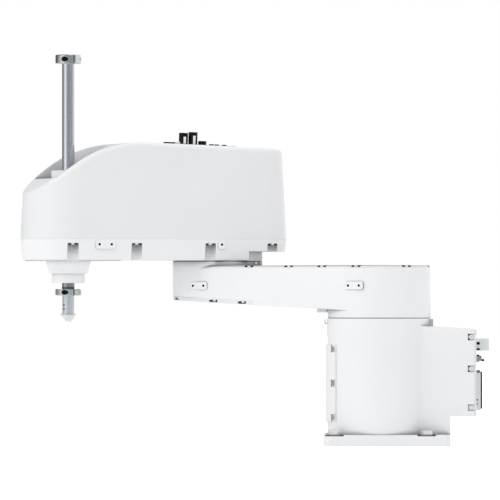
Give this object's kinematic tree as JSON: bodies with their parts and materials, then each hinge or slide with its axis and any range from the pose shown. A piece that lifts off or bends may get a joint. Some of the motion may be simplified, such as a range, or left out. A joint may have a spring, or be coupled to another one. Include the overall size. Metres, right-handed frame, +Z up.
{
  "type": "scara robot",
  "caption": "Four-axis SCARA robot arm on a bolted round base, with a hooded outer arm and a vertical tool shaft that slides and turns.",
  "frame": {"origin": "on axis 1, in the underside of the base plate that is bolted to the pedestal", "axes": "+Z up along all four axes, +X to the front and away from the connector box, +Y to the left"},
  "size_m": [0.7361, 0.3381, 0.6283],
  "materials": {
    "white_paint": "satin paint on cast aluminium",
    "white_cover": "satin white moulded cover",
    "bright_steel": "bright steel",
    "dark_steel": "dark oiled steel",
    "shaft_chrome": "ground and polished hardened steel",
    "satin_aluminium": "satin machined aluminium",
    "motor_black": "black paint",
    "black_plastic": "matt black moulding",
    "gloss_black": "glossy black moulding",
    "grey_plastic": "light grey moulding",
    "black_rubber": "matt black rubber",
    "grey_rubber": "matt light grey rubber",
    "ceramic_white": "pale satin plastic"
  },
  "bodies": {
    "base": {"base_casting": "white_paint", "rear_stop": "grey_rubber", "base_bolts": "bright_steel", "base_washers": "bright_steel", "base_front_cover": "white_paint", "base_front_cover_screws": "bright_steel", "rear_panel": "white_paint", "rear_panel_screws": "bright_steel", "motor_connector": "grey_plastic", "motor_connector_gasket": "black_rubber", "signal_connector": "ceramic_white", "signal_connector_cap": "grey_plastic", "rear_air_fittings": "gloss_black", "axis_1_circular_spline": "dark_steel", "axis_1_motor": "motor_black"},
    "inner_arm": {"axis_1_flexspline": "bright_steel", "inner_arm_casting": "white_paint", "inner_arm_top_cover": "white_cover", "inner_arm_top_cover_screws": "bright_steel", "inner_arm_bottom_cover": "white_cover", "inner_arm_bottom_cover_screws": "bright_steel", "axis_1_stop_block": "grey_rubber", "axis_2_flexspline": "bright_steel"},
    "outer_arm": {"axis_2_circular_spline": "dark_steel", "axis_2_motor": "motor_black", "outer_arm_casting": "white_paint", "outer_arm_bottom_plate": "white_paint", "outer_arm_cover": "white_cover", "outer_arm_cover_screws": "bright_steel", "nose_housing": "white_paint", "nose_ring": "ceramic_white", "spline_nut_bearing": "bright_steel", "screw_nut_bearing": "bright_steel", "nut_guard": "ceramic_white", "drive_frame": "satin_aluminium", "axis_3_motor": "motor_black", "axis_3_belt": "black_rubber", "axis_4_motor_bracket": "satin_aluminium", "axis_4_motor": "motor_black", "axis_4_belt": "black_rubber", "connector_panel": "white_cover", "top_signal_sockets": "gloss_black", "top_hose_fittings": "black_plastic", "top_socket": "grey_plastic"},
    "spline_drive": {"spline_nut": "bright_steel", "spline_pulley": "satin_aluminium"},
    "screw_drive": {"screw_nut": "bright_steel", "screw_pulley": "satin_aluminium"},
    "tool": {"tool_shaft": "shaft_chrome", "upper_collar": "bright_steel", "lower_collar": "bright_steel", "collar_screws": "dark_steel", "tool_sleeve": "satin_aluminium", "tool_end_cone": "ceramic_white", "end_plug": "ceramic_white"},
    "wave_generator_1": {"axis_1_wave_generator": "bright_steel"},
    "wave_generator_2": {"axis_2_wave_generator": "bright_steel"},
    "motor_pulley_3": {"axis_3_motor_pulley": "satin_aluminium"},
    "motor_pulley_4": {"axis_4_motor_pulley": "satin_aluminium"},
    "brake_button": {"brake_release_button": "gloss_black"}
  },
  "joints": [
    {"name": "axis_1", "type": "hinge", "parent": "base", "child": "inner_arm", "pos_m": [0, 0, 0.2], "axis": [0, 0, 1], "range_deg": [-108, 172]},
    {"name": "axis_2", "type": "hinge", "parent": "inner_arm", "child": "outer_arm", "pos_m": [0.25441, -0.15898, 0.289], "axis": [0, 0, 1], "range_deg": [-187, 83]},
    {"name": "axis_4", "type": "hinge", "parent": "outer_arm", "child": "spline_drive", "pos_m": [0.48934, -0.07347, 0.3], "axis": [0, 0, 1], "range_deg": [-400, 400]},
    {"name": "axis_3", "type": "slide", "parent": "spline_drive", "child": "tool", "axis": [0, 0, 1], "range_m": [-0.168, 0.009]},
    {"name": "screw_nut_turn", "type": "hinge", "parent": "spline_drive", "child": "screw_drive", "pos_m": [0.48934, -0.07347, 0.4], "axis": [0, 0, 1], "range_deg": [-170, 3030]},
    {"name": "wave_generator_1_turn", "type": "hinge", "parent": "base", "child": "wave_generator_1", "pos_m": [0, 0, 0.17], "axis": [0, 0, 1], "range_deg": [-13780, 8660]},
    {"name": "wave_generator_2_turn", "type": "hinge", "parent": "outer_arm", "child": "wave_generator_2", "pos_m": [0.25441, -0.15898, 0.32], "axis": [0, 0, 1], "range_deg": [-9370, 4170]},
    {"name": "motor_pulley_3_turn", "type": "hinge", "parent": "outer_arm", "child": "motor_pulley_3", "pos_m": [0.38477, -0.07854, 0.4], "axis": [0, 0, 1], "range_deg": [-275, 5045]},
    {"name": "motor_pulley_4_turn", "type": "hinge", "parent": "outer_arm", "child": "motor_pulley_4", "pos_m": [0.3976, -0.14304, 0.315], "axis": [0, 0, 1], "range_deg": [-975, 975]},
    {"name": "brake_button_press", "type": "slide", "parent": "outer_arm", "child": "brake_button", "axis": [0.0344, 0.0125, -0.9993], "range_m": [0, 0.003], "stiffness_N_per_m": 500, "springref_m": -0.003}
  ],
  "couplings": [
    {"joint": "screw_nut_turn", "follows": "axis_3", "rad_per_m": -314.16},
    {"joint": "wave_generator_1_turn", "follows": "axis_1", "ratio": -80},
    {"joint": "wave_generator_2_turn", "follows": "axis_2", "ratio": 50},
    {"joint": "motor_pulley_3_turn", "follows": "axis_3", "rad_per_m": -523.6},
    {"joint": "motor_pulley_4_turn", "follows": "axis_4", "ratio": 2.4286}
  ]
}
